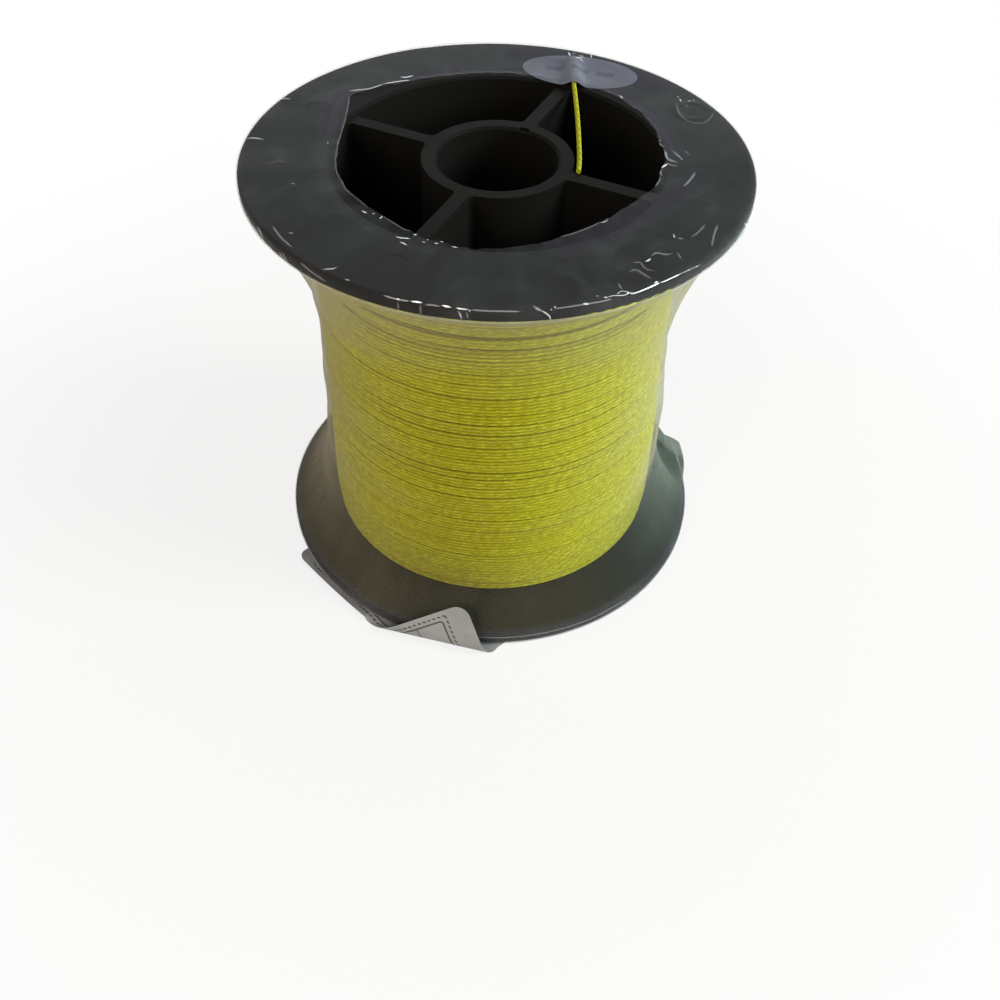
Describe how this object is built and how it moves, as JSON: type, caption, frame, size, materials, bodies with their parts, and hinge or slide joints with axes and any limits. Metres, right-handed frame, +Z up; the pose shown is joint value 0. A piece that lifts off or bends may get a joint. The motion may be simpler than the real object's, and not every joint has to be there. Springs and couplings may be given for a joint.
{
  "type": "fishing line spool",
  "caption": "Black moulded spool with an open ribbed core and a blind spindle bore, wound full of thick braided line and shrink-wrapped in clear film.",
  "frame": {"origin": "on the spindle axis, on the ground that the base label rests on", "axes": "+Z up along the spindle bore; +X and +Y point midway between the core's ribs"},
  "size_m": [0.0778, 0.0756, 0.0716],
  "materials": {
    "spool_plastic": "black, fine moulded grain",
    "tape": "crepe tape",
    "buried_line": "braided line",
    "line": "fluorescent yellow-green braid",
    "film": "clear shrink film with creases",
    "sticker_paper": "smooth white",
    "label_paper": "uncoated, off-white"
  },
  "bodies": {
    "root": {"upper_half": "spool_plastic", "lower_half": "spool_plastic", "starting_tape": "tape", "line_core": "buried_line", "line_outer_layer": "line", "line_tail": "line", "shrink_film": "film", "oval_sticker": "sticker_paper", "base_label": "label_paper"}
  },
  "joints": []
}
